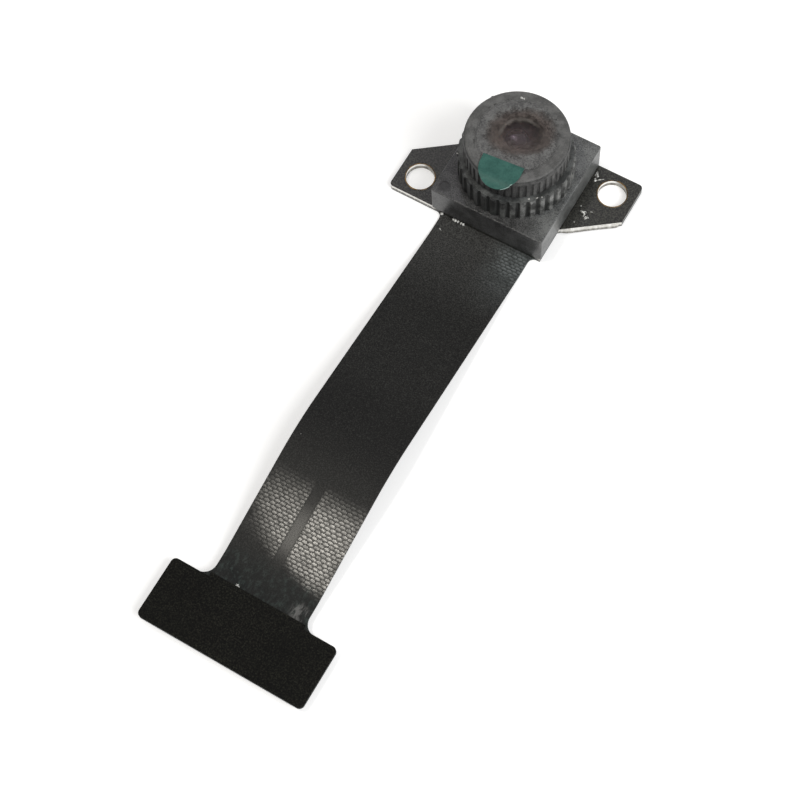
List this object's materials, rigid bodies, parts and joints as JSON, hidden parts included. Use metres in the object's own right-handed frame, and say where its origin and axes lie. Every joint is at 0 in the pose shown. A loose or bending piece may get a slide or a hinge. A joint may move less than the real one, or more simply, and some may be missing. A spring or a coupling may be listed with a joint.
{
  "type": "camera module",
  "caption": "Fixed-focus camera module: square lens holder with a knurled lens head on an eared board, and a flexible flat tail that ends in a low board connector.",
  "frame": {"origin": "on the lens axis, on the flat underside of the module", "axes": "+Z along the lens axis, out of the lens; -Y along the flexible tail, towards its connector end; +X completes the right-handed frame"},
  "size_m": [0.0154, 0.0429, 0.0071],
  "materials": {
    "flex_ribbon": "matte black cover film with a fine hatched mesh under it",
    "mounting_board": "glossy black solder mask",
    "ear_hole_plating": "bright plated wall with a thin gold rim",
    "test_pads": "tinned",
    "solder_joints": "bright solder",
    "image_sensor": "dark silicon",
    "sensor_glass": "clear",
    "capacitors": "fired ceramic",
    "holder_glue": "black epoxy",
    "lens_holder": "fine matte moulding",
    "infrared_filter": "pale blue coated glass",
    "lock_ring": "fine matte moulding",
    "lens_barrel": "fine matte moulding, hazy face",
    "front_lens": "coated, with a brown and purple gleam",
    "front_spacer": "matte black",
    "second_lens": "coated",
    "aperture_stop": "matte black",
    "third_lens": "coated",
    "rear_spacer": "matte black",
    "rear_lens": "coated",
    "protective_film": "clear film, slightly hazy",
    "pull_tab": "teal green film",
    "end_stiffener": "matte black film",
    "connector_housing": "black moulding",
    "connector_contacts": "gold flash",
    "connector_anchors": "gold flash"
  },
  "bodies": {
    "root": {"flex_ribbon": "flex_ribbon", "mounting_board": "mounting_board", "ear_hole_plating": "ear_hole_plating", "test_pads": "test_pads", "solder_joints": "solder_joints", "image_sensor": "image_sensor", "sensor_glass": "sensor_glass", "capacitors": "capacitors", "holder_glue": "holder_glue", "lens_holder": "lens_holder", "infrared_filter": "infrared_filter", "lock_ring": "lock_ring", "lens_barrel": "lens_barrel", "front_lens": "front_lens", "front_spacer": "front_spacer", "second_lens": "second_lens", "aperture_stop": "aperture_stop", "third_lens": "third_lens", "rear_spacer": "rear_spacer", "rear_lens": "rear_lens", "protective_film": "protective_film", "pull_tab": "pull_tab", "end_stiffener": "end_stiffener", "connector_housing": "connector_housing", "connector_contacts": "connector_contacts", "connector_anchors": "connector_anchors"}
  },
  "joints": []
}
